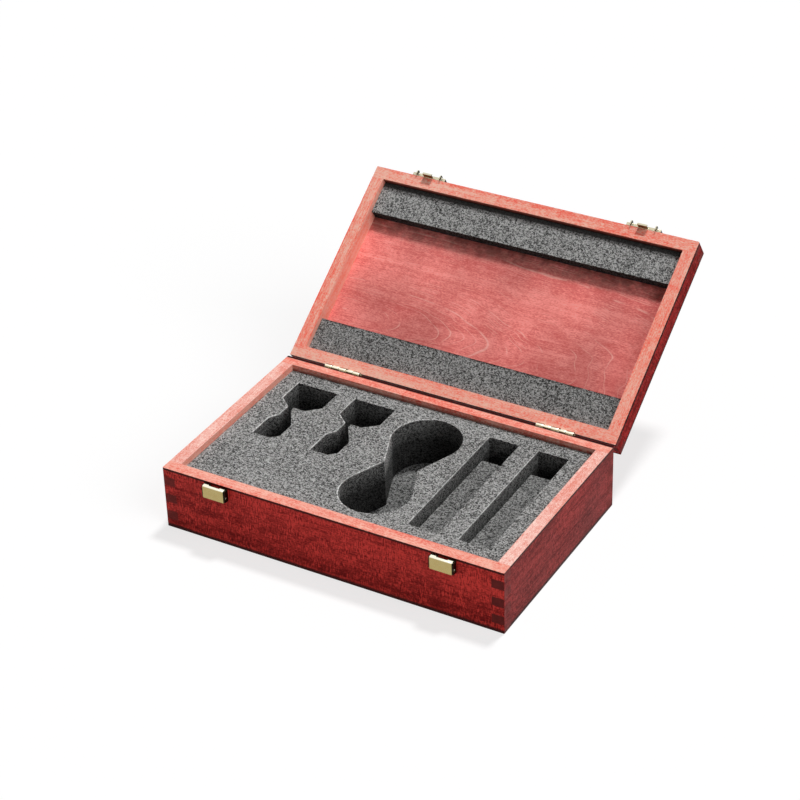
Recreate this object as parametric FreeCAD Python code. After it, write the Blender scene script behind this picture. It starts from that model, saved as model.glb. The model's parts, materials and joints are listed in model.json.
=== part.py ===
import FreeCAD, Part
import os
import math

# Microphone case: finger-jointed wooden box, hinged lid, two brass snap latches, cut foam inside.
# Millimetres. X runs to the right, Y to the back, Z up. The origin is the centre of the base's underside.
# The lid is built closed and then turned back about the hinge line to where it rests when open.

V = FreeCAD.Vector
X_DIR = V(1, 0, 0)
Y_DIR = V(0, 1, 0)
Z_DIR = V(0, 0, 1)

# Wooden box
case_width = 255.0
case_depth = 158.5
base_height = 47.5
lid_height = 16.6
wall = 9.0
sheet = 4.0                    # bottom panel and lid top panel
rebate = 4.0                   # how far those two sheets are let into the walls
edge_round = 0.5
base_finger_count = 7          # odd, so that front and back panels hold both ends of each corner
lid_finger_count = 3
rim_gap = 0.3                  # between the two rims when the lid is closed
lid_open_angle = 145.5

# Foam
foam_clearance = 0.2
foam_pad_thickness = 3.0
foam_insert_thickness = 36.0
lid_strip_width = 25.4
lid_strip_thickness = 8.3

# Webs of foam from the left wall to the right wall: two clip hollows, the figure-8 and two slots lie between
# them. In another width of case they keep these proportions.
foam_webs = (12.6, 13.9, 12.4, 11.65, 14.4, 13.85)

# Microphone slots, placed from the front wall
slot_length = 112.8
slot_width = 22.5
slot_margin_front = 14.95
slot_depth = 12.5
finger_pocket_length = 10.6

# Figure-8 hollow for two windscreens, placed from the middle of the case
screen_radius = 24.6
screen_spacing = 69.1
screen_middle_y = 1.15
screen_neck_width = 25.2
screen_neck_shift = -0.65      # the neck lies this far in front of the middle

# Clip hollows, placed from the back wall: a wide head at the back, a narrow neck and a foot
clip_margin_back = 12.85
clip_head_width = 32.0
clip_head_side_length = 20.6
clip_chamfer_x = 9.3
clip_chamfer_y = 8.2
clip_neck_offset = -6.6        # left side of the neck, from the middle of the head
clip_neck_width = 4.6
clip_neck_length = 18.4        # from the head's front edge to the foot's back edge
clip_neck_left_length = 11.3
clip_neck_right_length = 3.9
clip_foot_offset = -11.1       # left side of the foot, from the middle of the head
clip_foot_width = 19.0
clip_foot_shoulder_drop = 1.2
clip_foot_length = 20.7
clip_foot_cut = 5.0

# Hinges
hinge_end_distance = 44.3      # from the end of the case to the middle of a hinge
hinge_length = 28.0
hinge_axis_behind = 1.07       # behind the back faces
hinge_axis_below = 0.25        # below the base's rim
barrel_radius = 1.3
hinge_pin_radius = 0.6
running_clearance = 0.08       # pins in the knuckles that turn on them
knuckle_count = 5
knuckle_gap = 0.2
swing_clearance = 0.25         # round a barrel, for the wood and the other leaf
leaf_thickness = 0.9
leaf_mortise = 0.6
leaf_reach_base = 12.0         # from the hinge line down the base
leaf_reach_lid = 11.0          # from the hinge line up the lid
stop_tooth_length = 1.0
stop_tooth_angle = 90.0
stop_tooth_play = 2.5          # degrees left at the open stop
hinge_screw_spacing = 16.0
hinge_screw_drop = 6.8         # from the hinge line
hinge_screw_radius = 0.9
hinge_screw_head_radius = 1.8
hinge_screw_length = 6.5
driver_slot_width = 0.45
driver_slot_depth = 0.3

# Latches
latch_end_distance = 42.5      # from the end of the case to the middle of a latch
latch_width = 17.7
latch_below_rim = 1.0
latch_height = 9.5
latch_proud = 4.6
brass_sheet = 0.8
ear_setback = 0.4              # ears end behind the lever's face
ear_round = 1.4
lever_side_gap = 0.1
lever_pin_below_rim = 7.5
lever_pin_depth = 2.6          # from the front face out to the pin
lever_pin_radius = 0.6
lever_barrel_radius = 1.25
rivet_head_radius = 0.95
rivet_head_height = 0.35
lever_throw = 8.5              # degrees from clear of the tongue to over the barb
lever_bend_radius = 1.0         # where the face folds back along the top
lever_notch_width = 8.2
lever_fold_depth = 2.6         # beside the notch, from the face to the fold's back edge
lever_fold_depth_middle = 1.6  # in front of the notch
lever_nose_below_rim = 2.5     # underside of the nose
lever_nose_thickness = 0.9
lever_nose_width = 8.0
spring_width = 5.0
spring_thickness = 0.35
spring_height = 4.6
screw_head_radius = 1.2
screw_head_height = 0.45
screw_radius = 0.7
screw_grip = 4.2               # length in the wood
screw_play = 0.05
latch_screw_spacing = 13.0
latch_screw_below_rim = 3.9

# Hook plates on the lid, pressed as shallow shells
hook_width = 26.0
hook_plate_height = 7.5
hook_proud = 2.4
tongue_width = 7.4
tongue_reach = 4.0             # past the base's rim when closed
tongue_clearance = 0.2         # from the base's front face
barb_height = 1.0
barb_proud = 0.8
hook_ear_gap = 0.15            # ears pass this far outside the latch housing
hook_ear_proud = 3.9
hook_ear_reach = 2.2           # past the lid's rim
hook_ear_height = 4.0          # up the shell
hook_screw_spacing = 15.0
hook_screw_above_rim = 3.9

half_width = case_width / 2
half_depth = case_depth / 2
front_y = -half_depth
back_y = half_depth
inner_x = half_width - wall
inner_y = half_depth - wall
lid_rim_z = base_height + rim_gap
lid_top_z = lid_rim_z + lid_height
hinge_axis = V(0, back_y + hinge_axis_behind, base_height - hinge_axis_below)
leaf_inner_y = back_y - leaf_mortise
leaf_outer_y = leaf_inner_y + leaf_thickness
foam_pad_top_z = sheet + foam_pad_thickness
foam_top_z = foam_pad_top_z + foam_insert_thickness
slot_front_y = -inner_y + slot_margin_front
clip_back_y = inner_y - clip_margin_back
latch_centres = {"left": -half_width + latch_end_distance, "right": half_width - latch_end_distance}
hinge_centres = {"left": -half_width + hinge_end_distance, "right": half_width - hinge_end_distance}


def hollow_centres():
    """Middles in X of the five hollows, from left to right, with the webs of foam between them."""
    widths = (clip_head_width, clip_head_width, 2 * screen_radius, slot_width, slot_width)
    stretch = (2 * inner_x - sum(widths)) / sum(foam_webs)
    edge = -inner_x
    centres = []
    for width, web in zip(widths, foam_webs):
        edge += web * stretch
        centres.append(edge + width / 2)
        edge += width
    return centres


clip_left_x, clip_right_x, screen_middle_x, slot_left_x, slot_right_x = hollow_centres()
slot_centres = {"left": slot_left_x, "right": slot_right_x}


def block(x0, x1, y0, y1, z0, z1):
    """Box between two values on each axis."""
    return Part.makeBox(x1 - x0, y1 - y0, z1 - z0, V(x0, y0, z0))


def rod(radius, start, direction, length):
    return Part.makeCylinder(radius, length, start, direction)


def union(shapes):
    joined = shapes[0].multiFuse(shapes[1:])
    return joined.removeSplitter()


def prism(points, z0, z1):
    """Upright solid from a closed outline of (x, y) points."""
    corners = [V(x, y, z0) for x, y in points]
    wire = Part.makePolygon(corners + [corners[0]])
    return Part.Face(wire).extrude(V(0, 0, z1 - z0))


def edges_along(shape, direction, test):
    """Straight edges along a direction whose middle point passes a test."""
    found = []
    for edge in shape.Edges:
        ends = [v.Point for v in edge.Vertexes]
        if len(ends) != 2:
            continue
        run = ends[1] - ends[0]
        if run.Length < 1e-6 or run.cross(direction).Length > 1e-6 * run.Length:
            continue
        if test((ends[0] + ends[1]) * 0.5):
            found.append(edge)
    return found


# Wooden panels

def rounded_box(z0, z1, far_z):
    """Outer form of a box half: upright edges and the edges at far_z are eased."""
    body = block(-half_width, half_width, -half_depth, half_depth, z0, z1)
    upright = edges_along(body, Z_DIR, lambda p: True)
    level = edges_along(body, X_DIR, lambda p: abs(p.z - far_z) < 0.01)
    level += edges_along(body, Y_DIR, lambda p: abs(p.z - far_z) < 0.01)
    return body.makeFillet(edge_round, upright + level)


def finger_walls(z0, z1, finger_count, far_z):
    """Four walls of a box half. Front and back keep the odd fingers, the sides the even ones."""
    outer = rounded_box(z0, z1, far_z)
    pitch = (z1 - z0) / finger_count
    front = block(-half_width, half_width, front_y, -inner_y, z0, z1)
    back = block(-half_width, half_width, inner_y, back_y, z0, z1)
    left = block(-half_width, -inner_x, -inner_y, inner_y, z0, z1)
    right = block(inner_x, half_width, -inner_y, inner_y, z0, z1)
    side_fingers = []
    for i in range(1, finger_count, 2):
        low = z0 + i * pitch
        high = low + pitch
        side_fingers.append(block(-half_width, half_width, -half_depth, half_depth, low, high))
    layers = Part.makeCompound(side_fingers)
    corner_columns = []
    for sx in (-1, 1):
        for sy in (-1, 1):
            x0, x1 = sorted((sx * inner_x, sx * half_width))
            y0, y1 = sorted((sy * inner_y, sy * half_depth))
            corner_columns.append(block(x0, x1, y0, y1, z0, z1))
    fingers = Part.makeCompound(corner_columns).common(layers)
    walls = {"front_panel": front.cut(fingers), "back_panel": back.cut(fingers)}
    for name, side, sign in (("left_panel", left, -1), ("right_panel", right, 1)):
        own = [s for s in fingers.Solids if s.CenterOfMass.x * sign > 0]
        walls[name] = union([side] + own)
    return {name: solid.common(outer) for name, solid in walls.items()}


def closing_sheet(z0):
    """Thin panel let into a rebate on the inside of the four walls."""
    reach_x = inner_x + rebate
    reach_y = inner_y + rebate
    return block(-reach_x, reach_x, -reach_y, reach_y, z0, z0 + sheet)


def base_wood():
    panels = finger_walls(0, base_height, base_finger_count, 0)
    bottom = closing_sheet(0)
    wood = {"base_" + name: solid.cut(bottom) for name, solid in panels.items()}
    wood["base_bottom_panel"] = bottom
    return wood


def lid_wood():
    panels = finger_walls(lid_rim_z, lid_top_z, lid_finger_count, lid_top_z)
    top = closing_sheet(lid_top_z - sheet)
    wood = {"lid_" + name: solid.cut(top) for name, solid in panels.items()}
    wood["lid_top_panel"] = top
    return wood


# Foam

def figure_eight(z0, z1):
    """Two round hollows joined by a neck, with straight sides tangent to both."""
    half_neck = screen_neck_width / 2
    back = V(screen_middle_x, screen_middle_y + screen_spacing / 2, z0)
    front = V(screen_middle_x, screen_middle_y - screen_spacing / 2, z0)
    neck = V(screen_middle_x, screen_middle_y + screen_neck_shift, z0)

    def tangent_point(centre, corner):
        """Where a line from the corner touches the circle, on the corner's own side."""
        to_corner = corner - centre
        swing = math.acos(screen_radius / to_corner.Length)
        heading = math.atan2(to_corner.y, to_corner.x)
        points = []
        for turn in (swing, -swing):
            offset = V(math.cos(heading + turn), math.sin(heading + turn), 0) * screen_radius
            points.append(centre + offset)
        side = corner.x - centre.x
        return max(points, key=lambda p: (p.x - centre.x) * side)

    left = neck - V(half_neck, 0, 0)
    right = neck + V(half_neck, 0, 0)
    back_left = tangent_point(back, left)
    back_right = tangent_point(back, right)
    front_left = tangent_point(front, left)
    front_right = tangent_point(front, right)
    back_top = back + V(0, screen_radius, 0)
    front_end = front - V(0, screen_radius, 0)
    edges = [
        Part.makeLine(left, back_left),
        Part.Arc(back_left, back_top, back_right).toShape(),
        Part.makeLine(back_right, right),
        Part.makeLine(right, front_right),
        Part.Arc(front_right, front_end, front_left).toShape(),
        Part.makeLine(front_left, left),
    ]
    return Part.Face(Part.Wire(edges)).extrude(V(0, 0, z1 - z0))


def clip_hollow(centre_x, z0, z1):
    half_head = clip_head_width / 2
    head_side_y = clip_back_y - clip_head_side_length
    head_front_y = head_side_y - clip_chamfer_y
    front_half = half_head - clip_chamfer_x
    neck_left = clip_neck_offset
    neck_right = neck_left + clip_neck_width
    foot_left = clip_foot_offset
    foot_right = foot_left + clip_foot_width
    foot_back_y = head_front_y - clip_neck_length
    foot_front_y = foot_back_y - clip_foot_length
    outline = [
        (-half_head, clip_back_y),
        (-half_head, head_side_y),
        (neck_left, head_front_y),
        (neck_left, head_front_y - clip_neck_left_length),
        (foot_left, foot_back_y),
        (foot_left, foot_front_y),
        (foot_right - clip_foot_cut, foot_front_y),
        (foot_right, foot_front_y + clip_foot_cut),
        (foot_right, foot_back_y - clip_foot_shoulder_drop),
        (neck_right, head_front_y - clip_neck_right_length),
        (neck_right, head_front_y),
        (front_half, head_front_y),
        (half_head, head_side_y),
        (half_head, clip_back_y),
    ]
    return prism([(centre_x + x, y) for x, y in outline], z0, z1)


def slot_block(centre_x, y0, y1, z0, z1):
    return block(centre_x - slot_width / 2, centre_x + slot_width / 2, y0, y1, z0, z1)


def base_foam():
    reach_x = inner_x - foam_clearance
    reach_y = inner_y - foam_clearance
    pad = block(-reach_x, reach_x, -reach_y, reach_y, sheet, foam_pad_top_z)
    insert = block(-reach_x, reach_x, -reach_y, reach_y, foam_pad_top_z, foam_top_z)
    slot_back_y = slot_front_y + slot_length
    cuts = [figure_eight(foam_pad_top_z, foam_top_z)]
    for centre_x in (clip_left_x, clip_right_x):
        cuts.append(clip_hollow(centre_x, foam_pad_top_z, foam_top_z))
    foam = {"foam_base_pad": pad}
    for side, centre_x in slot_centres.items():
        cuts.append(slot_block(centre_x, slot_front_y, slot_back_y, foam_pad_top_z, foam_top_z))
        filler_back_y = slot_back_y - finger_pocket_length
        filler = slot_block(centre_x, slot_front_y, filler_back_y, foam_pad_top_z, foam_top_z - slot_depth)
        foam["mic_slot_foam_" + side] = filler
    foam["foam_insert"] = insert.cut(Part.makeCompound(cuts))
    return foam


def lid_foam():
    reach_x = inner_x - foam_clearance
    high = lid_top_z - sheet
    low = high - lid_strip_thickness
    edge = inner_y - foam_clearance
    front = block(-reach_x, reach_x, -edge, -inner_y + lid_strip_width, low, high)
    back = block(-reach_x, reach_x, inner_y - lid_strip_width, edge, low, high)
    return {"lid_foam_strip_front": front, "lid_foam_strip_back": back}


# Hinges

def knuckle_span(index, centre_x):
    """Ends of one knuckle along the hinge line, with a gap to each neighbour."""
    pitch = hinge_length / knuckle_count
    start = centre_x - hinge_length / 2 + index * pitch
    low = start if index == 0 else start + knuckle_gap / 2
    high = start + pitch if index == knuckle_count - 1 else start + pitch - knuckle_gap / 2
    return low, high


def barrel_piece(low, high, radius):
    return rod(radius, V(low, hinge_axis.y, hinge_axis.z), X_DIR, high - low)


def ring_sector(low, high, start_angle):
    """Part of a barrel, from start_angle on, counted from +Y towards +Z."""
    sector = Part.makeCylinder(barrel_radius, high - low, V(0, 0, 0), Z_DIR, stop_tooth_angle)
    sector.rotate(V(0, 0, 0), Y_DIR, 90)
    sector.rotate(V(0, 0, 0), X_DIR, 90 + start_angle)
    sector.translate(V(low, hinge_axis.y, hinge_axis.z))
    return sector


def leaf_plate(centre_x, z0, z1):
    half = hinge_length / 2
    return block(centre_x - half, centre_x + half, leaf_inner_y, leaf_outer_y, z0, z1)


def plate_start():
    """Distance from the hinge line at which a leaf clears the other leaf's knuckles."""
    sideways = hinge_axis.y - leaf_outer_y
    clear = barrel_radius + swing_clearance
    return math.sqrt(clear * clear - sideways * sideways)


def hinge_screw(x, z, play):
    """Countersunk wood screw driven into a back face, or the hole for one."""
    start = V(x, leaf_outer_y, z)
    into = V(0, -1, 0)
    head_radius = hinge_screw_head_radius + play
    head = Part.makeCone(head_radius, hinge_screw_radius + play, leaf_thickness, start, into)
    shank = rod(hinge_screw_radius + play, start, into, hinge_screw_length)
    return union([head, shank])


def screw_slot(x, z, face_y, reach):
    """Driver slot across a screw head whose face is at face_y."""
    half = driver_slot_width / 2
    deep = driver_slot_depth
    return block(x - reach, x + reach, face_y - deep, face_y + deep, z - half, z + half)


def hinge_screw_places(centre_x, on_lid):
    """Middles of one leaf's screws, as (x, z), with the lid closed."""
    z = hinge_axis.z + hinge_screw_drop * (1 if on_lid else -1)
    return [(centre_x - hinge_screw_spacing / 2, z), (centre_x + hinge_screw_spacing / 2, z)]


def hinge_screw_holes(centre_x, on_lid):
    return [hinge_screw(x, z, screw_play) for x, z in hinge_screw_places(centre_x, on_lid)]


def hinge_leaf(centre_x, on_lid):
    """One leaf with its knuckles and its stop tooth, with the lid closed."""
    reach = leaf_reach_lid if on_lid else leaf_reach_base
    way = 1 if on_lid else -1
    near = hinge_axis.z + way * plate_start()
    far = hinge_axis.z + way * reach
    pieces = [leaf_plate(centre_x, min(near, far), max(near, far))]
    own = range(1, knuckle_count, 2) if on_lid else range(0, knuckle_count, 2)
    base_tooth_knuckle = 2
    lid_tooth_knuckle = base_tooth_knuckle + 1
    base_tooth_start = -180.0
    lid_tooth_start = base_tooth_start + stop_tooth_angle + stop_tooth_play + lid_open_angle
    for index in own:
        low, high = knuckle_span(index, centre_x)
        if index == lid_tooth_knuckle:
            tooth_tip = low
            low = tooth_tip + stop_tooth_length + knuckle_gap
            pieces.append(ring_sector(tooth_tip, low, lid_tooth_start))
        if index == base_tooth_knuckle:
            pieces.append(ring_sector(high, high + stop_tooth_length, base_tooth_start))
        pieces.append(barrel_piece(low, high, barrel_radius))
        pieces.append(block(low, high, leaf_inner_y, leaf_outer_y,
                            min(near, hinge_axis.z), max(near, hinge_axis.z)))
    bore = barrel_piece(centre_x - hinge_length, centre_x + hinge_length,
                        hinge_pin_radius + (running_clearance if on_lid else 0))
    return union(pieces).cut(Part.makeCompound([bore] + hinge_screw_holes(centre_x, on_lid)))


def hinge_pin(centre_x):
    return barrel_piece(centre_x - hinge_length / 2, centre_x + hinge_length / 2, hinge_pin_radius)


def hinge_room(centre_x, on_lid):
    """Wood taken away for one hinge: the leaf's mortise and the groove along the barrel."""
    reach = leaf_reach_lid if on_lid else leaf_reach_base
    way = 1 if on_lid else -1
    far = hinge_axis.z + way * reach
    low_z, high_z = min(hinge_axis.z, far), max(hinge_axis.z, far)
    mortise = leaf_plate(centre_x, low_z, high_z)
    half = hinge_length / 2 + swing_clearance
    groove_radius = max(barrel_radius, hinge_axis.y - leaf_inner_y) + swing_clearance
    groove = barrel_piece(centre_x - half, centre_x + half, groove_radius)
    return [mortise, groove] + hinge_screw_holes(centre_x, on_lid)


def hinge_screws(on_lid):
    screws = []
    for centre_x in hinge_centres.values():
        for x, z in hinge_screw_places(centre_x, on_lid):
            driver_slot = screw_slot(x, z, leaf_outer_y, hinge_screw_head_radius)
            screws.append(hinge_screw(x, z, 0).cut(driver_slot))
    return Part.makeCompound(screws)


# Latches. Depth is counted outwards from the front face, height is counted in Z.

def latch_block(x0, x1, depth0, depth1, z0, z1):
    return block(x0, x1, front_y - depth1, front_y - depth0, z0, z1)


def screw_shank(x, z, seat, play):
    return rod(screw_radius + play, V(x, front_y - seat, z), Y_DIR, seat + screw_grip)


def pan_screws(z, spacing, seat):
    """Small round-headed screws whose heads sit at a depth called seat, for both latches."""
    screws = []
    face_y = front_y - seat - screw_head_height
    for centre_x in latch_centres.values():
        for x in (centre_x - spacing / 2, centre_x + spacing / 2):
            head = rod(screw_head_radius, V(x, face_y, z), Y_DIR, screw_head_height)
            screw = union([head, screw_shank(x, z, seat, 0)])
            screws.append(screw.cut(screw_slot(x, z, face_y, screw_head_radius)))
    return Part.makeCompound(screws)


def pan_holes(centre_x, z, spacing, seat):
    return [screw_shank(centre_x + side * spacing / 2, z, seat, screw_play) for side in (-1, 1)]


latch_top_z = base_height - latch_below_rim
latch_bottom_z = latch_top_z - latch_height
lever_pin_z = base_height - lever_pin_below_rim
latch_screw_z = base_height - latch_screw_below_rim
hook_screw_z = lid_rim_z + hook_screw_above_rim
lever_half = latch_width / 2 - brass_sheet - lever_side_gap


def latch_housing(centre_x):
    """Back plate with a notch for the tongue, and an ear at each end that carries the pin."""
    half = latch_width / 2
    notch_half = lever_notch_width / 2
    notch_bottom = base_height - tongue_reach - swing_clearance * 2
    top = latch_top_z - swing_clearance * 2
    plate = latch_block(centre_x - half, centre_x + half, 0, brass_sheet, latch_bottom_z, top)
    ear_depth = latch_proud - ear_setback
    ears = []
    for side in (-1, 1):
        x0, x1 = sorted((centre_x + side * half, centre_x + side * (half - brass_sheet)))
        ear = latch_block(x0, x1, 0, ear_depth, latch_bottom_z, top)
        outer_edges = edges_along(ear, X_DIR, lambda p: abs(p.y - (front_y - ear_depth)) < 0.01)
        ears.append(ear.makeFillet(ear_round, outer_edges))
    notch = latch_block(centre_x - notch_half, centre_x + notch_half, 0, brass_sheet, notch_bottom, top)
    pin_start = V(centre_x - half, front_y - lever_pin_depth, lever_pin_z)
    pin_hole = rod(lever_pin_radius, pin_start, X_DIR, latch_width)
    holes = pan_holes(centre_x, latch_screw_z, latch_screw_spacing, brass_sheet)
    return union([plate] + ears).cut(Part.makeCompound([notch, pin_hole] + holes))


def latch_pin(centre_x):
    left = V(centre_x - latch_width / 2, front_y - lever_pin_depth, lever_pin_z)
    shaft = rod(lever_pin_radius, left, X_DIR, latch_width)
    left_head = rod(rivet_head_radius, left - X_DIR * rivet_head_height, X_DIR, rivet_head_height)
    right_head = rod(rivet_head_radius, left + X_DIR * latch_width, X_DIR, rivet_head_height)
    return union([shaft, left_head, right_head])


def latch_spring(centre_x):
    half = spring_width / 2
    return latch_block(centre_x - half, centre_x + half, brass_sheet, brass_sheet + spring_thickness,
                       latch_bottom_z, latch_bottom_z + spring_height)


def latch_lever(centre_x):
    """Face folded back along the top, with a notch for the tongue, and the nose and barrel behind it."""
    face_back = latch_proud - brass_sheet
    left = centre_x - lever_half
    right = centre_x + lever_half
    fold_z = latch_top_z - brass_sheet
    face = latch_block(left, right, face_back, latch_proud, latch_bottom_z, latch_top_z)
    fold = latch_block(left, right, latch_proud - lever_fold_depth, face_back, fold_z, latch_top_z)
    sheet_form = union([face, fold])
    outer_y = front_y - latch_proud
    bend = edges_along(sheet_form, X_DIR, lambda p: abs(p.y - outer_y) < 0.01 and abs(p.z - latch_top_z) < 0.01)
    sheet_form = sheet_form.makeFillet(lever_bend_radius, bend)
    foot = edges_along(sheet_form, X_DIR, lambda p: abs(p.y - outer_y) < 0.01 and abs(p.z - latch_bottom_z) < 0.01)
    sheet_form = sheet_form.makeFillet(brass_sheet * 0.6, foot)
    notch_half = lever_notch_width / 2
    notch = latch_block(centre_x - notch_half, centre_x + notch_half, 0, latch_proud - lever_fold_depth_middle,
                        fold_z, latch_top_z)
    pieces = [sheet_form.cut(notch)]
    nose_low = base_height - lever_nose_below_rim
    nose_tip = tongue_clearance + brass_sheet + barb_proud + swing_clearance
    nose_half = lever_nose_width / 2
    pieces.append(latch_block(centre_x - nose_half, centre_x + nose_half, nose_tip, face_back,
                              nose_low, nose_low + lever_nose_thickness))
    pin_start = V(left, front_y - lever_pin_depth, lever_pin_z)
    pieces.append(rod(lever_barrel_radius, pin_start, X_DIR, lever_half * 2))
    pieces.append(latch_block(left, right, lever_pin_depth, face_back,
                              lever_pin_z - lever_pin_radius, lever_pin_z + lever_pin_radius))
    bore = rod(lever_pin_radius + running_clearance, pin_start, X_DIR, lever_half * 2)
    return union(pieces).cut(bore)


def hook_ear(x0, x1):
    """Gusset on the shell that passes the latch housing's side when the lid is closed."""
    top = lid_rim_z + hook_ear_height
    low = lid_rim_z - hook_ear_reach
    middle = lid_rim_z - hook_ear_reach / 2
    inner = front_y - tongue_clearance
    shell = front_y - hook_proud
    outer = front_y - hook_ear_proud
    outline = [V(x0, inner, low), V(x0, shell, low), V(x0, outer, middle), V(x0, outer, lid_rim_z + brass_sheet),
               V(x0, shell + brass_sheet, top), V(x0, inner, top)]
    return Part.Face(Part.makePolygon(outline + [outline[0]])).extrude(V(x1 - x0, 0, 0))


def latch_hook(centre_x):
    """Shell on the lid's front face, tongue with an outward barb, and an ear near each end."""
    half = hook_width / 2
    tongue_half = tongue_width / 2
    top_z = lid_rim_z + hook_plate_height
    shell = latch_block(centre_x - half, centre_x + half, 0, hook_proud, lid_rim_z, top_z)
    outer_y = front_y - hook_proud
    upright = edges_along(shell, Y_DIR, lambda p: p.z > lid_rim_z + 1)
    shell = shell.makeFillet(brass_sheet, upright)
    face_edges = [e for e in shell.Edges if abs(e.CenterOfMass.y - outer_y) < 0.01]
    shell = shell.makeFillet(brass_sheet * 0.6, face_edges)
    hollow = latch_block(centre_x - half + brass_sheet, centre_x + half - brass_sheet, 0, hook_proud - brass_sheet,
                         lid_rim_z + brass_sheet, top_z - brass_sheet)
    tip_z = base_height - tongue_reach
    tongue = latch_block(centre_x - tongue_half, centre_x + tongue_half, tongue_clearance,
                         tongue_clearance + brass_sheet, tip_z, lid_rim_z + brass_sheet)
    barb_root = front_y - tongue_clearance - brass_sheet
    barb_outline = [V(0, barb_root, tip_z), V(0, barb_root - barb_proud, tip_z + barb_height * 0.6),
                    V(0, barb_root - barb_proud, tip_z + barb_height), V(0, barb_root, tip_z + barb_height)]
    barb = Part.Face(Part.makePolygon(barb_outline + [barb_outline[0]])).extrude(V(tongue_width, 0, 0))
    barb.translate(V(centre_x - tongue_half, 0, 0))
    pieces = [shell.cut(hollow), tongue, barb]
    ear_near = latch_width / 2 + hook_ear_gap
    for near, far in ((ear_near, ear_near + brass_sheet), (-ear_near - brass_sheet, -ear_near)):
        pieces.append(hook_ear(centre_x + near, centre_x + far))
    holes = pan_holes(centre_x, hook_screw_z, hook_screw_spacing, hook_proud)
    return union(pieces).cut(Part.makeCompound(holes))


# Assembly

def base_parts():
    parts = base_wood()
    parts.update(base_foam())
    for centre_x in hinge_centres.values():
        for room in hinge_room(centre_x, False):
            parts["base_back_panel"] = parts["base_back_panel"].cut(room)
    for centre_x in latch_centres.values():
        for hole in pan_holes(centre_x, latch_screw_z, latch_screw_spacing, brass_sheet):
            parts["base_front_panel"] = parts["base_front_panel"].cut(hole)
    for side, centre_x in hinge_centres.items():
        parts["hinge_base_leaf_" + side] = hinge_leaf(centre_x, False)
        parts["hinge_pin_" + side] = hinge_pin(centre_x)
    parts["hinge_base_screws"] = hinge_screws(False)
    for side, centre_x in latch_centres.items():
        parts["latch_housing_" + side] = latch_housing(centre_x)
        parts["latch_pin_" + side] = latch_pin(centre_x)
        parts["latch_spring_" + side] = latch_spring(centre_x)
        parts["latch_lever_" + side] = latch_lever(centre_x)
    parts["latch_base_screws"] = pan_screws(latch_screw_z, latch_screw_spacing, brass_sheet)
    return parts


def lid_parts():
    parts = lid_wood()
    parts.update(lid_foam())
    for centre_x in hinge_centres.values():
        for room in hinge_room(centre_x, True):
            parts["lid_back_panel"] = parts["lid_back_panel"].cut(room)
    for centre_x in latch_centres.values():
        for hole in pan_holes(centre_x, hook_screw_z, hook_screw_spacing, hook_proud):
            parts["lid_front_panel"] = parts["lid_front_panel"].cut(hole)
    for side, centre_x in hinge_centres.items():
        parts["hinge_lid_leaf_" + side] = hinge_leaf(centre_x, True)
    parts["hinge_lid_screws"] = hinge_screws(True)
    for side, centre_x in latch_centres.items():
        parts["latch_hook_" + side] = latch_hook(centre_x)
    parts["latch_hook_screws"] = pan_screws(hook_screw_z, hook_screw_spacing, hook_proud)
    for shape in parts.values():
        shape.rotate(hinge_axis, X_DIR, -lid_open_angle)
    return parts


def main():
    os.makedirs("parts", exist_ok=True)
    parts = base_parts()
    parts.update(lid_parts())
    for name, shape in parts.items():
        shape.exportStep(os.path.join("parts", name + ".step"))
        volume = shape.Volume / 1000
        print(f"{name}: {len(shape.Solids)} solid(s), {volume:.2f} cm3, valid {shape.isValid()}")


main()
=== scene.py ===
import bpy
import bmesh
import json
import math
from mathutils import Euler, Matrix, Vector, noise


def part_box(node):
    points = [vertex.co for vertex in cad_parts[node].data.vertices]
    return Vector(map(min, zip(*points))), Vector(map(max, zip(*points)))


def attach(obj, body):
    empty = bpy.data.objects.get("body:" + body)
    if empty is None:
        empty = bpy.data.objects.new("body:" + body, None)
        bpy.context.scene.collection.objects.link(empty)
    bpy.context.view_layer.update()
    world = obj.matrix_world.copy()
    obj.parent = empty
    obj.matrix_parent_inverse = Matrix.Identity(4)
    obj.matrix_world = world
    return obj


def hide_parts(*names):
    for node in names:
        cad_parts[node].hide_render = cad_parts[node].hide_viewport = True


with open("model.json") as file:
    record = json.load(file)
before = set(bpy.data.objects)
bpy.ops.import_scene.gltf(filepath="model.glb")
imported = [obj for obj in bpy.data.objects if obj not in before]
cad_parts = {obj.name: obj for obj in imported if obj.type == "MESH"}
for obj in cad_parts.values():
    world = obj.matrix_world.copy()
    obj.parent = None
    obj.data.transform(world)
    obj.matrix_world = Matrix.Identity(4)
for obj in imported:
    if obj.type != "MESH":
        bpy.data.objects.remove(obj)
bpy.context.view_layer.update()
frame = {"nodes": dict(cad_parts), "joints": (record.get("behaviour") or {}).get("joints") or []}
nodes = frame["nodes"]
scene = bpy.context.scene
scene.view_settings.view_transform = "Standard"
lidJoint = next(j for j in frame["joints"] if j["name"] == "lid_hinge")
hingeLine = Vector(lidJoint["pos_m"])
lidOpenAngle = math.radians(lidJoint["range_deg"][1])


# Small helpers for shader trees

def addNode(tree, kind, **settings):
    made = tree.nodes.new(kind)
    for name, value in settings.items():
        setattr(made, name, value)
    return made


def plug(tree, value, socket):
    # a socket is linked, anything else is written on the socket itself
    if isinstance(value, bpy.types.NodeSocket):
        tree.links.new(value, socket)
    else:
        socket.default_value = value


def calc(tree, operation, first, second=0.0, clamp=False):
    made = addNode(tree, "ShaderNodeMath", operation=operation, use_clamp=clamp)
    plug(tree, first, made.inputs[0])
    plug(tree, second, made.inputs[1])
    return made.outputs[0]


def stretchVector(tree, vector, scale):
    made = addNode(tree, "ShaderNodeVectorMath", operation="MULTIPLY")
    plug(tree, vector, made.inputs[0])
    plug(tree, scale, made.inputs[1])
    return made.outputs[0]


def splitVector(tree, vector):
    made = addNode(tree, "ShaderNodeSeparateXYZ")
    plug(tree, vector, made.inputs[0])
    return made.outputs


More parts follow.
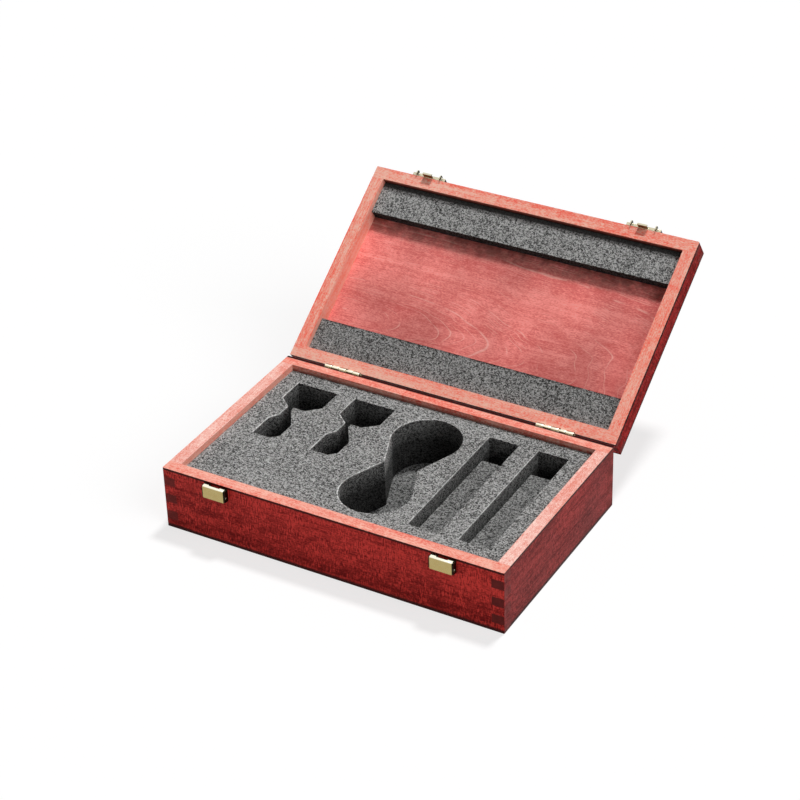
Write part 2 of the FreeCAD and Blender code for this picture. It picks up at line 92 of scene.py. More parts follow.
def noiseAt(tree, vector, scale, detail=2.0, roughness=0.5, distortion=0.0):
    made = addNode(tree, "ShaderNodeTexNoise")
    plug(tree, vector, made.inputs["Vector"])
    plug(tree, scale, made.inputs["Scale"])
    plug(tree, detail, made.inputs["Detail"])
    plug(tree, roughness, made.inputs["Roughness"])
    plug(tree, distortion, made.inputs["Distortion"])
    return made.outputs["Fac"]


def remap(tree, value, low, high, newLow=0.0, newHigh=1.0):
    made = addNode(tree, "ShaderNodeMapRange")
    for slotName, number in zip(("Value", "From Min", "From Max", "To Min", "To Max"),
                                (value, low, high, newLow, newHigh)):
        plug(tree, number, made.inputs[slotName])
    return made.outputs["Result"]


def mixColour(tree, factor, first, second, blend="MIX"):
    made = addNode(tree, "ShaderNodeMix", data_type="RGBA", blend_type=blend)
    plug(tree, factor, made.inputs["Factor"])
    plug(tree, first, made.inputs[6])
    plug(tree, second, made.inputs[7])
    return made.outputs[2]


def makeGroup(name, inputs, outputs):
    # a shader node group with named sockets, as (name, kind, default)
    tree = bpy.data.node_groups.new(name, "ShaderNodeTree")
    for label, kind, default in inputs:
        made = tree.interface.new_socket(name=label, in_out="INPUT", socket_type=kind)
        made.default_value = default
    for label, kind in outputs:
        tree.interface.new_socket(name=label, in_out="OUTPUT", socket_type=kind)
    return tree, tree.nodes.new("NodeGroupInput").outputs, tree.nodes.new("NodeGroupOutput").inputs


def placeGroup(tree, group, values):
    made = addNode(tree, "ShaderNodeGroup", node_tree=group)
    for label, value in values.items():
        plug(tree, value, made.inputs[label])
    return made.outputs


def newMaterial(name, **socketValues):
    material = bpy.data.materials.new(name)
    material.use_nodes = True
    tree = material.node_tree
    shader = tree.nodes["Principled BSDF"]
    for label, value in socketValues.items():
        shader.inputs[label.replace("_", " ")].default_value = value
    return material, tree, shader


def dress(name, material):
    # gives a CAD node its finish
    mesh = nodes[name].data
    mesh.materials.clear()
    mesh.materials.append(material)


def softenEdges(name, width, segments, angle=35.0):
    # a narrow rounding on the sharp edges of a CAD node, as a modifier
    weld = nodes[name].modifiers.new("joinPoints", "WELD")
    weld.merge_threshold = 1e-6
    bevel = nodes[name].modifiers.new("softEdges", "BEVEL")
    bevel.width = width
    bevel.segments = segments
    bevel.limit_method = "ANGLE"
    bevel.angle_limit = math.radians(angle)
    bevel.use_clamp_overlap = True
    bevel.harden_normals = False


def addBump(tree, shader, height, strength, distance):
    bump = addNode(tree, "ShaderNodeBump")
    bump.inputs["Strength"].default_value = strength
    bump.inputs["Distance"].default_value = distance
    plug(tree, height, bump.inputs["Height"])
    plug(tree, bump.outputs["Normal"], shader.inputs["Normal"])


# Camera, where the photograph was taken from

cameraValues = {
    "place": (0.67684, -1.12990, 0.93558),
    "turnDegrees": (57.349, 1.586, 29.523),
    "lens": 107.6,
    "sensor": 36.0,
}


def makeCamera():
    data = bpy.data.cameras.new("camera")
    data.lens = cameraValues["lens"]
    data.sensor_width = cameraValues["sensor"]
    data.dof.use_dof = False
    camera = bpy.data.objects.new("camera", data)
    camera.location = cameraValues["place"]
    camera.rotation_euler = [math.radians(a) for a in cameraValues["turnDegrees"]]
    scene.collection.objects.link(camera)
    scene.camera = camera


makeCamera()
print("camera is set")


# Floor and light

studioValues = {
    "floorSize": 12.0,
    "floorColour": (0.30, 0.30, 0.30, 1.0),
    "floorGlow": 0.70,                           # keeps the paper white and the shadow light
    "floorBounce": (0.78, 0.77, 0.76, 1.0),      # what the floor throws back on the case
    "skyLight": 0.08,
    "keyStrength": 2.26,
    "keyAzimuth": 10.0,                          # degrees from +Y towards +X
    "keyElevation": 70.0,
    "keySoftness": 8.0,
    "sideStrength": 1.25,
    "sideAzimuth": 103.0,
    "sideElevation": 40.0,
    "sideSoftness": 40.0,
}


def seenDirectly(tree):
    # 1 for what the camera sees, also in metal and glass, and 0 for the light that the scene gives
    path = addNode(tree, "ShaderNodeLightPath")
    direct = calc(tree, "MAXIMUM", path.outputs["Is Camera Ray"], path.outputs["Is Glossy Ray"])
    return calc(tree, "MAXIMUM", direct, path.outputs["Is Transmission Ray"])


def makeFloor():
    half = studioValues["floorSize"] / 2
    mesh = bpy.data.meshes.new("floor")
    mesh.from_pydata([(-half, -half, 0), (half, -half, 0), (half, half, 0), (-half, half, 0)], [], [(0, 1, 2, 3)])
    floor = bpy.data.objects.new("floor", mesh)
    scene.collection.objects.link(floor)
    material, tree, shader = newMaterial("floorPaper", Roughness=0.9, Specular_IOR_Level=0.0)
    seen = seenDirectly(tree)
    shown = mixColour(tree, seen, studioValues["floorBounce"], studioValues["floorColour"])
    plug(tree, shown, shader.inputs["Base Color"])
    shader.inputs["Emission Color"].default_value = (1.0, 1.0, 1.0, 1.0)
    plug(tree, calc(tree, "MULTIPLY", seen, studioValues["floorGlow"]), shader.inputs["Emission Strength"])
    mesh.materials.append(material)


def makeSun(name, strength, azimuth, elevation, softness):
    data = bpy.data.lights.new(name, "SUN")
    data.energy = strength
    data.angle = math.radians(softness)
    lamp = bpy.data.objects.new(name, data)
    a = math.radians(azimuth)
    e = math.radians(elevation)
    toLight = Vector((math.sin(a) * math.cos(e), math.cos(a) * math.cos(e), math.sin(e)))
    lamp.rotation_euler = toLight.to_track_quat("Z", "Y").to_euler()
    scene.collection.objects.link(lamp)


def makeSky():
    world = bpy.data.worlds.new("studioWorld")
    scene.world = world
    world.use_nodes = True
    tree = world.node_tree
    background = tree.nodes["Background"]
    background.inputs["Color"].default_value = (1.0, 1.0, 1.0, 1.0)
    strength = remap(tree, seenDirectly(tree), 0.0, 1.0, studioValues["skyLight"], 1.0)
    plug(tree, strength, background.inputs["Strength"])


makeFloor()
for lampName in ("key", "side"):
    makeSun(lampName + "Light",
            *(studioValues[lampName + part] for part in ("Strength", "Azimuth", "Elevation", "Softness")))
makeSky()
print("floor and light are set")


# Patterns that several materials use

grainGroup, grainIn, grainOut = makeGroup(
    "woodGrain",
    [("Vector", "NodeSocketVector", (0, 0, 0)), ("Fibre", "NodeSocketFloat", 0.5),
     ("Bands", "NodeSocketFloat", 0.5), ("Flecks", "NodeSocketFloat", 0.3), ("Ripple", "NodeSocketFloat", 0.0)],
    [("Tone", "NodeSocketFloat"), ("Pores", "NodeSocketFloat")])


def buildGrain():
    # tone is 0 in dark wood and 1 in light wood, and the grain runs along the vector's X
    tree = grainGroup
    vector = grainIn["Vector"]
    fibre = noiseAt(tree, stretchVector(tree, vector, (170.0, 1900.0, 1900.0)), 1.0, 2.0, 0.65)
    line = noiseAt(tree, stretchVector(tree, vector, (24.0, 560.0, 560.0)), 1.0, 3.0, 0.6, 0.4)
    band = noiseAt(tree, stretchVector(tree, vector, (4.0, 75.0, 75.0)), 1.0, 2.0, 0.5, 0.8)
    mottle = noiseAt(tree, vector, 170.0, 2.0, 0.6)
    fleck = noiseAt(tree, stretchVector(tree, vector, (600.0, 1700.0, 1700.0)), 1.0, 1.0, 0.6)
    ripple = noiseAt(tree, stretchVector(tree, vector, (1300.0, 260.0, 260.0)), 1.0, 1.0, 0.6)
    rippled = calc(tree, "MULTIPLY", calc(tree, "SUBTRACT", ripple, 0.5), remap(tree, mottle, 0.35, 0.65))
    weights = [(fibre, grainIn["Fibre"]), (line, grainIn["Fibre"]), (band, grainIn["Bands"]),
               (mottle, calc(tree, "MULTIPLY", grainIn["Bands"], 0.8)), (fleck, grainIn["Flecks"])]
    total = calc(tree, "MULTIPLY", rippled, calc(tree, "MULTIPLY", grainIn["Ripple"], 2.0))
    for pattern, weight in weights:
        total = calc(tree, "ADD", total, calc(tree, "MULTIPLY", calc(tree, "SUBTRACT", pattern, 0.5), weight))
    plug(tree, calc(tree, "ADD", calc(tree, "MULTIPLY", total, 2.9), 0.5, clamp=True), grainOut["Tone"])
    plug(tree, remap(tree, fibre, 0.32, 0.6), grainOut["Pores"])


buildGrain()

archGroup, archIn, archOut = makeGroup(
    "sheetFigure",
    [("Vector", "NodeSocketVector", (0, 0, 0)), ("Stretch", "NodeSocketFloat", 4.5)],
    [("Rings", "NodeSocketFloat"), ("Lines", "NodeSocketFloat")])


def buildArches():
    # nested arches of a sheet cut flat from the log, with fine light lines along them
    tree = archGroup
    wander = noiseAt(tree, stretchVector(tree, archIn["Vector"], (14.0, 30.0, 30.0)), 1.0, 2.0, 0.5)
    x, y, z = splitVector(tree, archIn["Vector"])
    across = calc(tree, "MULTIPLY", y, archIn["Stretch"])
    distance = calc(tree, "SQRT", calc(tree, "ADD", calc(tree, "MULTIPLY", x, x), calc(tree, "MULTIPLY", across, across)))
    distance = calc(tree, "ADD", distance, calc(tree, "MULTIPLY", wander, 0.06))
    rings = addNode(tree, "ShaderNodeTexNoise", noise_dimensions="1D")
    plug(tree, calc(tree, "MULTIPLY", distance, 62.0), rings.inputs["W"])
    rings.inputs["Scale"].default_value = 1.0
    rings.inputs["Detail"].default_value = 1.0
    plug(tree, remap(tree, rings.outputs["Fac"], 0.3, 0.7), archOut["Rings"])
    ridge = calc(tree, "ABSOLUTE", calc(tree, "SUBTRACT", rings.outputs["Fac"], 0.53))
    breaks = noiseAt(tree, archIn["Vector"], 60.0, 2.0, 0.6)
    lines = calc(tree, "MULTIPLY", remap(tree, ridge, 0.022, 0.006), remap(tree, breaks, 0.44, 0.56))
    plug(tree, lines, archOut["Lines"])


buildArches()

facingGroup, facingIn, facingOut = makeGroup(
    "facing",
    [("Direction", "NodeSocketVector", (0, 0, 1)), ("From", "NodeSocketFloat", 0.5),
     ("To", "NodeSocketFloat", 0.8)],
    [("Mask", "NodeSocketFloat")])


def buildFacing():
    # 1 where the piece's own surface faces along a direction
    tree = facingGroup
    coordinates = addNode(tree, "ShaderNodeTexCoord")
    dot = addNode(tree, "ShaderNodeVectorMath", operation="DOT_PRODUCT")
    plug(tree, coordinates.outputs["Normal"], dot.inputs[0])
    plug(tree, facingIn["Direction"], dot.inputs[1])
    plug(tree, remap(tree, dot.outputs["Value"], facingIn["From"], facingIn["To"]), facingOut["Mask"])


buildFacing()


# Stained wood

woodValues = {
    "outerLight": (0.720, 0.048, 0.038, 1.0),
    "outerDark": (0.180, 0.003, 0.003, 1.0),
    "innerLight": (1.000, 0.340, 0.300, 1.0),
    "innerDark": (0.720, 0.145, 0.132, 1.0),
    "rimLight": (0.940, 0.510, 0.405, 1.0),
    "rimDark": (0.810, 0.128, 0.088, 1.0),
    # lighter copy of the rim colours for the lid's rims: painted light
    "paintedLitLidRimLight": (1.000, 0.570, 0.450, 1.0),
    "paintedLitLidRimDark": (1.000, 0.160, 0.108, 1.0),
    # lighter inner walls facing +X on the left panels: painted light
    "paintedLitLight": (1.000, 0.560, 0.450, 1.0),
    "paintedLitDark": (0.980, 0.300, 0.220, 1.0),
    # darker inner wall of the lid's front panel: painted shade
    "shadeLight": (0.520, 0.160, 0.120, 1.0),
    "shadeDark": (0.260, 0.060, 0.045, 1.0),
    # paler rims on the base's side panels: painted sheen along the grain
    "paintedSheenLight": (1.000, 0.700, 0.620, 1.0),
    "paintedSheenDark": (0.800, 0.260, 0.200, 1.0),
    "lineColour": (1.000, 0.560, 0.480, 1.0),
    "endColour": (0.110, 0.012, 0.010, 1.0),
    # colour of the painted shade along outer edges and the hinge gap
    "paintedEdgeShade": (0.020, 0.001, 0.001, 1.0),
    "topTint": (0.62, 0.55, 0.55, 1.0),          # the lid's outer top has darker stain
    # painted shadow of the front foam strip on the lid's panel: its colour and where it fades
    "smearColour": (0.170, 0.070, 0.052, 1.0),
    "smearStart": -0.0385,
    "smearEnd": -0.030,
    "paintedSeamShadow": 0.0034,                         # height of the painted shadow line along the lid's hinge side
    "bumpStrength": 0.25,
    "bumpDistance": 0.00012,
    "edgeRounding": 0.0004,
}


def lidTurned(direction):
    # a direction of the closed lid as it lies with the lid open
    return Euler((-lidOpenAngle, 0.0, 0.0)).to_matrix() @ Vector(direction)


def closedPlace(tree, onLid):
    # where a point lies when the case is closed, which is how the boards were cut
    coordinates = addNode(tree, "ShaderNodeTexCoord")
    if not onLid:
        return coordinates.outputs["Object"]
    mapping = addNode(tree, "ShaderNodeMapping", vector_type="POINT")
    plug(tree, coordinates.outputs["Object"], mapping.inputs["Vector"])
    turn = Euler((lidOpenAngle, 0.0, 0.0))
    mapping.inputs["Rotation"].default_value = turn
    mapping.inputs["Location"].default_value = hingeLine - turn.to_matrix() @ hingeLine
    return mapping.outputs["Vector"]


def measureFrom(tree, place, centre):
    made = addNode(tree, "ShaderNodeVectorMath", operation="SUBTRACT")
    plug(tree, place, made.inputs[0])
    made.inputs[1].default_value = centre
    return made.outputs[0]


def woodMaterial(name, values, shift):
    # directions are those of the closed case, and shift moves the grain so that no two panels look alike
    material, tree, shader = newMaterial(name, Specular_IOR_Level=values["gloss"])
    onLid = name.startswith("lid_")
    turn = lidTurned if onLid else Vector
    place = closedPlace(tree, onLid)
    mapping = addNode(tree, "ShaderNodeMapping", vector_type="POINT")
    plug(tree, place, mapping.inputs["Vector"])
    alongY = values["grain"] == "Y"
    mapping.inputs["Rotation"].default_value = (0.0, 0.0, math.radians(90.0) if alongY else 0.0)
    mapping.inputs["Location"].default_value = (shift, shift * 0.7, shift * 1.3)
    inner = placeGroup(tree, grainGroup, {"Vector": mapping.outputs["Vector"], "Fibre": values["innerFibre"],
                                          "Bands": 0.45, "Flecks": 0.75, "Ripple": 0.0})
    outer = placeGroup(tree, grainGroup, {"Vector": mapping.outputs["Vector"], "Fibre": 0.40,
                                          "Bands": values["outerBands"], "Flecks": 0.6,
                                          "Ripple": values["ripple"]})
    inside = placeGroup(tree, facingGroup, {"Direction": turn(values["inward"])})["Mask"]
    onRim = placeGroup(tree, facingGroup, {"Direction": turn(values["rim"])})["Mask"]
    axis = (0, 1, 0) if alongY else (1, 0, 0)
    endA = placeGroup(tree, facingGroup, {"Direction": turn(axis)})["Mask"]
    endB = placeGroup(tree, facingGroup, {"Direction": -turn(axis)})["Mask"]
    rimKind = values["rimKind"]
    wallKind = values["wallKind"]
    colour = mixColour(tree, outer["Tone"], woodValues["outerDark"], woodValues["outerLight"])
    colour = mixColour(tree, 1.0, colour, values["outerTint"], "MULTIPLY")
    wallColour = mixColour(tree, inner["Tone"], woodValues[wallKind + "Dark"], woodValues[wallKind + "Light"])
    if values["sheet"]:
        arches = placeGroup(tree, archGroup, {"Vector": measureFrom(tree, place, values["archCentre"]),
                                              "Stretch": 4.5})
        wallColour = mixColour(tree, calc(tree, "MULTIPLY", arches["Rings"], 0.3), wallColour, woodValues["innerDark"])
        wallColour = mixColour(tree, calc(tree, "MULTIPLY", arches["Lines"], 0.55), wallColour,
                               woodValues["lineColour"])
    x, y, z = splitVector(tree, place)
    if values["smear"] > 0.0:
        # painted shadow of the front foam strip on the lid's inner panel, mottled
        reach = remap(tree, y, woodValues["smearStart"], woodValues["smearEnd"], values["smear"], 0.0)
        patchy = remap(tree, noiseAt(tree, place, 90.0, 3.0, 0.65), 0.3, 0.6)
        wallColour = mixColour(tree, calc(tree, "MULTIPLY", reach, patchy), wallColour, woodValues["smearColour"])
    if values["cloud"] > 0.0:
        # light and dark areas as broad as a hand
        patch = noiseAt(tree, place, 16.0, 1.0, 0.5)
        strength = remap(tree, patch, 0.3, 0.7, 1.0 - values["cloud"], 1.0 + values["cloud"])
        clouded = []
        for plain in (colour, wallColour):
            scaled = addNode(tree, "ShaderNodeVectorMath", operation="SCALE")
            plug(tree, plain, scaled.inputs[0])
            plug(tree, strength, scaled.inputs["Scale"])
            clouded.append(scaled.outputs[0])
        colour, wallColour = clouded
    low, high = (0.0478, 0.0644) if onLid else (0.0, 0.0475)
    if values["wallShade"] < 1.0:
        # painted shade: the inner wall darkens towards the foam
        depth = calc(tree, "SUBTRACT", z, low) if onLid else calc(tree, "SUBTRACT", high, z)
        shade = remap(tree, depth, values["shadeFrom"], 0.0040, 1.0, values["wallShade"])
        shaded = addNode(tree, "ShaderNodeVectorMath", operation="SCALE")
        plug(tree, wallColour, shaded.inputs[0])
        plug(tree, shade, shaded.inputs["Scale"])
        wallColour = shaded.outputs[0]
    rimColour = mixColour(tree, inner["Tone"], woodValues[rimKind + "Dark"], woodValues[rimKind + "Light"])
    if values["backEdge"]:
        # painted shadow of the hinge gap along the back rim's outer edge
        wearAndPaintedShade = remap(tree, y, 0.0770, 0.0776)
        rimColour = mixColour(tree, wearAndPaintedShade, rimColour, woodValues["paintedEdgeShade"])
    if not values["sheet"]:
        # painted shade: the outer faces darken along their lower and upper edges
        lowEdge = values["lowEdge"]
        edge = calc(tree, "MAXIMUM", remap(tree, calc(tree, "SUBTRACT", z, low), lowEdge, lowEdge * 0.6),
                    remap(tree, calc(tree, "SUBTRACT", high, z), 0.0021, 0.0013))
        onTop = placeGroup(tree, facingGroup, {"Direction": turn((0, 0, 1))})["Mask"]
        edge = calc(tree, "MULTIPLY", edge, calc(tree, "SUBTRACT", 0.93, calc(tree, "MULTIPLY", onTop, 0.93)))
        colour = mixColour(tree, edge, colour, woodValues["paintedEdgeShade"])
        colour = mixColour(tree, onTop, colour, woodValues["topTint"], "MULTIPLY")
    ends = calc(tree, "MULTIPLY", calc(tree, "MAXIMUM", endA, endB), 0.8)
    colour = mixColour(tree, ends, colour, woodValues["endColour"])
    colour = mixColour(tree, inside, colour, wallColour)
    colour = mixColour(tree, onRim, colour, rimColour)
    plug(tree, colour, shader.inputs["Base Color"])
    plug(tree, remap(tree, outer["Tone"], 0.0, 1.0, 0.55, 0.38), shader.inputs["Roughness"])
    addBump(tree, shader, outer["Pores"], woodValues["bumpStrength"], woodValues["bumpDistance"])
    return material


def board(grain, inward, rim, **changes):
    values = {"grain": grain, "inward": inward, "rim": rim, "rimKind": "rim", "wallKind": "rim", "sheet": False,
              "outerTint": (1.0, 1.0, 1.0, 1.0), "outerBands": 0.5, "ripple": 0.35, "innerFibre": 0.42,
              "archCentre": (0, 0, 0), "lowEdge": 0.0034, "gloss": 0.08, "wallShade": 1.0,
              "shadeFrom": 0.0005, "backEdge": False, "cloud": 0.0, "smear": 0.0}
    values.update(changes)
    return values


up, down = (0, 0, 1), (0, 0, -1)
# darker right-hand outer faces of base and lid: painted shade that offsets the side lamp
paintedRightShade = (0.46, 0.335, 0.335, 1.0)
lidPaintedRightShade = (0.57, 0.16, 0.155, 1.0)
panelValues = {
    "base_front_panel": board("X", (0, 1, 0), up, ripple=0.75),
    "base_back_panel": board("X", (0, -1, 0), up, wallShade=0.45, shadeFrom=0.0018, backEdge=True, gloss=0.04),
    "base_left_panel": board("Y", (1, 0, 0), up, rimKind="paintedSheen", wallKind="paintedLit"),
    "base_right_panel": board("Y", (-1, 0, 0), up, rimKind="paintedSheen", outerTint=paintedRightShade, ripple=0.45, outerBands=0.3,
                               cloud=0.25),
    # the lid front panel's inner wall gets painted shade
    "lid_front_panel": board("X", (0, 1, 0), down, rimKind="paintedLitLidRim", wallKind="shade", gloss=0.03, wallShade=0.15, ripple=0.5),
    "lid_back_panel": board("X", (0, -1, 0), down, rimKind="paintedLitLidRim", lowEdge=woodValues["paintedSeamShadow"], gloss=0.03),
    "lid_left_panel": board("Y", (1, 0, 0), down, rimKind="paintedLitLidRim", wallKind="paintedLit", innerFibre=0.6, gloss=0.03),
    "lid_right_panel": board("Y", (-1, 0, 0), down, rimKind="paintedLitLidRim", outerTint=lidPaintedRightShade, gloss=0.02, ripple=0.6),
    "base_bottom_panel": board("X", up, down, sheet=True, wallKind="inner", archCentre=(0.1, -0.02, 0)),
    "lid_top_panel": board("X", down, up, sheet=True, wallKind="inner", archCentre=(-0.11, 0.030, 0),
                           cloud=0.22, smear=0.68, outerTint=woodValues["topTint"],
                           outerBands=0.35, ripple=0.1),
}


def finishWood():
    for i, (name, values) in enumerate(panelValues.items()):
        if values["sheet"]:
            values["rim"] = (0, 0, 0)        # a sheet has an inner and an outer side only
        dress(name, woodMaterial(name + "_wood", values, 0.31 * (i + 1)))
        softenEdges(name, woodValues["edgeRounding"], 2, 50.0)


finishWood()
print("wood is finished")


# Foam

foamValues = {
    "step": 0.0016,                              # size of the skin's cells
    "cellSize": 0.0016,
    "poreSize": 0.0008,
    "roughness": 0.00026,
    "dark": (0.035, 0.035, 0.034, 1.0),
    "light": (0.540, 0.540, 0.530, 1.0),
    # colour of the painted highlight along the top edges of walls facing +X
    "paintedEdgeHighlight": (1.0, 1.0, 0.99, 1.0),
    "cutWall": (0.68, 0.13),                     # cut walls are darker: partly open pores, mostly painted shade that deepens with depth
    # the lid strips' side walls are painted nearly black: painted shade
    "stripWall": (0.14, 0.14),
    "wallDepth": 0.017,
    "paintedLightDirection": (0.75, 0.66, 0.0),            # painted light: walls that face this way are lighter
    "paintedLightGain": 3.2,
    # where the painted shadow of the lid's front panel on the front strip fades
    "paintedPanelShadowStart": -0.0671,
    "paintedPanelShadowEnd": -0.0658,
    "bumpStrength": 0.6,
    "bumpDistance": 0.0004,
}


def makeFoamMaterial(name, upward, level, wallKey, topHeight, withPaintedPanelShadow):
    # level is the brightness of this piece's foam against the main insert's
    material, tree, shader = newMaterial(name, Roughness=0.95, Specular_IOR_Level=0.05)
    coordinates = addNode(tree, "ShaderNodeTexCoord")
    place = coordinates.outputs["Object"]
    fine = noiseAt(tree, place, 2300.0, 1.0, 0.6)
    coarse = noiseAt(tree, place, 400.0, 2.0, 0.6)
    cells = addNode(tree, "ShaderNodeTexVoronoi")
    plug(tree, place, cells.inputs["Vector"])
    plug(tree, 1.0 / foamValues["cellSize"], cells.inputs["Scale"])
    pore = addNode(tree, "ShaderNodeTexVoronoi")
    plug(tree, place, pore.inputs["Vector"])
    plug(tree, 1.0 / foamValues["poreSize"], pore.inputs["Scale"])
    poreTone = splitVector(tree, pore.outputs["Color"])[0]
    speck = calc(tree, "ADD", calc(tree, "MULTIPLY", fine, 0.55), calc(tree, "MULTIPLY", coarse, 0.15))
    speck = calc(tree, "ADD", speck, calc(tree, "MULTIPLY", poreTone, 0.30))
    speck = calc(tree, "ADD", speck, calc(tree, "MULTIPLY", noiseAt(tree, place, 20.0, 1.0, 0.5), 0.09))
    colour = mixColour(tree, remap(tree, speck, 0.43, 0.69), foamValues["dark"], foamValues["light"])
    # painted highlight along the top edges of walls facing +X
    cut = addNode(tree, "ShaderNodeAttribute", attribute_name="edgeHighlightMask")
    onCut = calc(tree, "MULTIPLY", remap(tree, cut.outputs["Fac"], 0.30, 0.85),
                 remap(tree, speck, 0.42, 0.62, 0.3, 1.0))
    face = placeGroup(tree, facingGroup, {"Direction": upward, "From": 0.4, "To": 0.8})["Mask"]
    depth = calc(tree, "SUBTRACT", topHeight, splitVector(tree, place)[2])
    nearTop, nearFloor = foamValues[wallKey]
    # painted shade: walls darken from the top down to the floor
    wall = remap(tree, depth, 0.001, foamValues["wallDepth"], nearTop * level, nearFloor * level)
    # painted light on walls that face the side lamp
    paintedLightMask = placeGroup(tree, facingGroup, {"Direction": foamValues["paintedLightDirection"], "From": 0.84, "To": 0.98})["Mask"]
    wall = calc(tree, "MULTIPLY", wall, remap(tree, paintedLightMask, 0.0, 1.0, 1.0, foamValues["paintedLightGain"]))
    shade = remap(tree, face, 0.0, 1.0, wall, level)
    shaded = addNode(tree, "ShaderNodeVectorMath", operation="SCALE")
    plug(tree, colour, shaded.inputs[0])
    plug(tree, shade, shaded.inputs["Scale"])
    colour = mixColour(tree, onCut, shaded.outputs[0], foamValues["paintedEdgeHighlight"])
    if withPaintedPanelShadow:
        # painted shadow of the lid's front panel along the strip's edge
        closedY = splitVector(tree, closedPlace(tree, True))[1]
        paintedPanelShadow = remap(tree, closedY, foamValues["paintedPanelShadowStart"], foamValues["paintedPanelShadowEnd"], 0.92, 0.0)
        colour = mixColour(tree, paintedPanelShadow, colour, foamValues["dark"])
    plug(tree, colour, shader.inputs["Base Color"])
    height = calc(tree, "ADD", calc(tree, "MULTIPLY", cells.outputs["Distance"], 0.6), speck)
    addBump(tree, shader, height, foamValues["bumpStrength"], foamValues["bumpDistance"])
    return material


def gridCut(bm, step):
    # cuts every face into cells of one step along each axis, and keeps the sharp edges
    for axis in range(3):
        normal = Vector((0, 0, 0))
        normal[axis] = 1.0
        places = [v.co[axis] for v in bm.verts]
        low, high = min(places), max(places)
        count = max(1, round((high - low) / step))
        for k in range(1, count):
            at = low + (high - low) * k / count
            near = [f for f in bm.faces if min(v.co[axis] for v in f.verts) < at - 1e-6
                    and max(v.co[axis] for v in f.verts) > at + 1e-6]
            parts = set(near)
            for f in near:
                parts.update(f.verts)
                parts.update(f.edges)
            point = Vector((0, 0, 0))
            point[axis] = at
            bmesh.ops.bisect_plane(bm, geom=list(parts), dist=1e-7, plane_co=point, plane_no=normal)


def makeFoamPiece(name, nodeName, body, upward, level, paintedTopHighlightEdges):
    # a fine skin with the CAD solid's crisp cuts, roughened like cut foam
    mesh = nodes[nodeName].data.copy()
    piece = bpy.data.objects.new(name, mesh)
    scene.collection.objects.link(piece)
    bm = bmesh.new()
    bm.from_mesh(mesh)
    bmesh.ops.remove_doubles(bm, verts=bm.verts, dist=1e-6)
    bmesh.ops.dissolve_limit(bm, angle_limit=math.radians(0.5), verts=bm.verts, edges=bm.edges)
    gridCut(bm, foamValues["step"])
    bmesh.ops.triangulate(bm, faces=[f for f in bm.faces if len(f.verts) > 4])
    bm.normal_update()
    # marks the top edges over walls facing +X for the painted highlight
    cutLayer = bm.verts.layers.float.new("edgeHighlightMask")
    for edge in bm.edges:
        if len(edge.link_faces) != 2:
            continue
        first, second = edge.link_faces
        sharp = first.normal.angle(second.normal, 0.0) > math.radians(38.0)
        edge.smooth = not sharp
        if first.normal.dot(upward) < second.normal.dot(upward):
            first, second = second, first
        if sharp and paintedTopHighlightEdges and first.normal.dot(upward) > 0.9 and second.normal.x > 0.3:
            edge.verts[0][cutLayer] = 1.0
            edge.verts[1][cutLayer] = 1.0
    cell = foamValues["cellSize"]
    moves = []
    for vert in bm.verts:
        rise = noise.noise(vert.co / cell) * 0.65 + noise.noise(vert.co / (cell * 2.3)) * 0.35
        moves.append(vert.normal * ((rise - 0.45) * foamValues["roughness"]))
    for vert, move in zip(bm.verts, moves):
        vert.co += move
    for face in bm.faces:
        face.smooth = True
    bm.to_mesh(mesh)
    bm.free()
    mesh.materials.clear()
    mesh.materials.append(makeFoamMaterial(name + "_foam", upward, level, "stripWall" if body == "lid" else "cutWall",
                                            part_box("foam_insert")[1][2], nodeName == "lid_foam_strip_front"))
    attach(piece, body)
    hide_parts(nodeName)
    return piece


# the lower levels of the pad and the slot fillers at the hollows' bottoms are painted shade
foamPieces = [
    ("foamInsert", "foam_insert", "base", 0.90),
    ("foamBasePad", "foam_base_pad", "base", 0.60),
    ("micSlotFoamLeft", "mic_slot_foam_left", "base", 0.62),
    ("micSlotFoamRight", "mic_slot_foam_right", "base", 0.62),
    ("lidFoamStripFront", "lid_foam_strip_front", "lid", 0.92),
    ("lidFoamStripBack", "lid_foam_strip_back", "lid", 0.76),
]
for pieceName, nodeName, bodyName, level in foamPieces:
    upward = lidTurned((0, 0, -1)) if bodyName == "lid" else Vector((0, 0, 1))
    made = makeFoamPiece(pieceName, nodeName, bodyName, upward, level, nodeName == "foam_insert")
    print("foam piece", pieceName, len(made.data.vertices), "points")


# Brass and spring steel

metalValues = {
    "brass": (0.440, 0.350, 0.150, 1.0),
    "brassWorn": (0.430, 0.330, 0.130, 1.0),
    # colour of the painted highlight on upward faces
    "paintedTopHighlight": (0.980, 0.940, 0.760, 1.0),
    # colour of the painted shade on sideways faces
    "paintedSideShade": (0.006, 0.005, 0.003, 1.0),
    "steel": (0.560, 0.560, 0.570, 1.0),
    "edgeRounding": 0.0002,
}


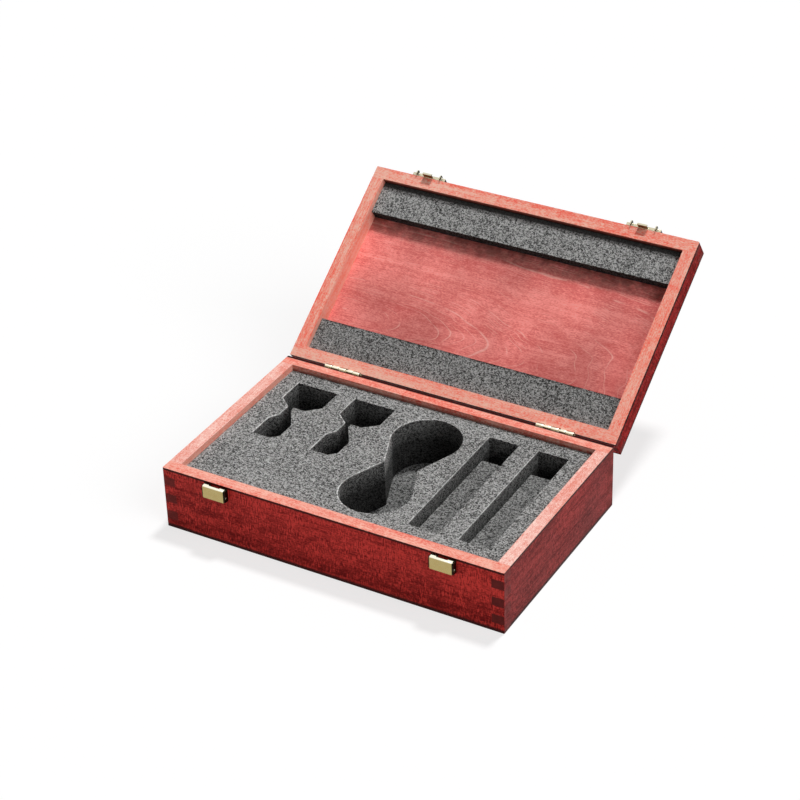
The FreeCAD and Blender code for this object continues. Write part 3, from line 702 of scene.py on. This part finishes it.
def makeMetal(name, colour, wearAndPaintedShade, roughLow, roughHigh, paintedSideShade, paintedTopHighlight):
    # the last two numbers set how dark the painted shade on the sideways faces is and how bright the painted highlight
    # on the upward faces is
    material, tree, shader = newMaterial(name, Metallic=1.0)
    coordinates = addNode(tree, "ShaderNodeTexCoord")
    place = coordinates.outputs["Object"]
    cloud = noiseAt(tree, place, 350.0, 3.0, 0.6)
    scratch = noiseAt(tree, stretchVector(tree, place, (300.0, 4000.0, 4000.0)), 1.0, 2.0, 0.6)
    shown = mixColour(tree, remap(tree, cloud, 0.4, 0.75), colour, wearAndPaintedShade)
    right = placeGroup(tree, facingGroup, {"Direction": (1, 0, 0), "From": 0.5, "To": 0.9})["Mask"]
    left = placeGroup(tree, facingGroup, {"Direction": (-1, 0, 0), "From": 0.5, "To": 0.9})["Mask"]
    # painted shade on faces that turn to the sides
    sideShade = calc(tree, "MULTIPLY", calc(tree, "MAXIMUM", right, left), paintedSideShade)
    # painted highlight on faces that turn upward
    top = placeGroup(tree, facingGroup, {"Direction": up, "From": 0.3, "To": 0.7})["Mask"]
    shown = mixColour(tree, calc(tree, "MULTIPLY", top, paintedTopHighlight), shown, metalValues["paintedTopHighlight"])
    plug(tree, mixColour(tree, sideShade, shown, metalValues["paintedSideShade"]), shader.inputs["Base Color"])
    plug(tree, remap(tree, cloud, 0.3, 0.7, roughLow, roughHigh), shader.inputs["Roughness"])
    addBump(tree, shader, scratch, 0.05, 0.00003)
    return material


# darker brass with dark patches for the hooks: painted dark reflections
hookBrass = makeMetal("hookBrass", (0.330, 0.255, 0.080, 1.0), (0.080, 0.060, 0.020, 1.0),
                      0.2, 0.4, 0.97, 0.5)
brass = makeMetal("latchBrass", metalValues["brass"], metalValues["brassWorn"], 0.22, 0.34, 0.95, 1.0)
# the housing is painted nearly black: painted shade in place of its shadowed side
housingPaintedShade = makeMetal("housingBrassPaintedShade", (0.03, 0.025, 0.014, 1.0), (0.012, 0.010, 0.006, 1.0), 0.35, 0.5, 0.95, 0.0)
hingeBrass = makeMetal("hingeBrass", metalValues["brass"], metalValues["brassWorn"], 0.2, 0.34, 0.3, 1.0)
steel = makeMetal("springSteel", metalValues["steel"], metalValues["steel"], 0.25, 0.4, 0.0, 0.0)
for name in nodes:
    if name.startswith("latch_spring"):
        dress(name, steel)
    elif name.startswith("latch_housing"):
        dress(name, housingPaintedShade)
    elif name.startswith("latch_hook"):
        dress(name, hookBrass)
    elif name.startswith("latch_"):
        dress(name, brass)
    elif name.startswith("hinge_"):
        dress(name, hingeBrass)
    else:
        continue
    softenEdges(name, metalValues["edgeRounding"], 2)
print("metal is finished")
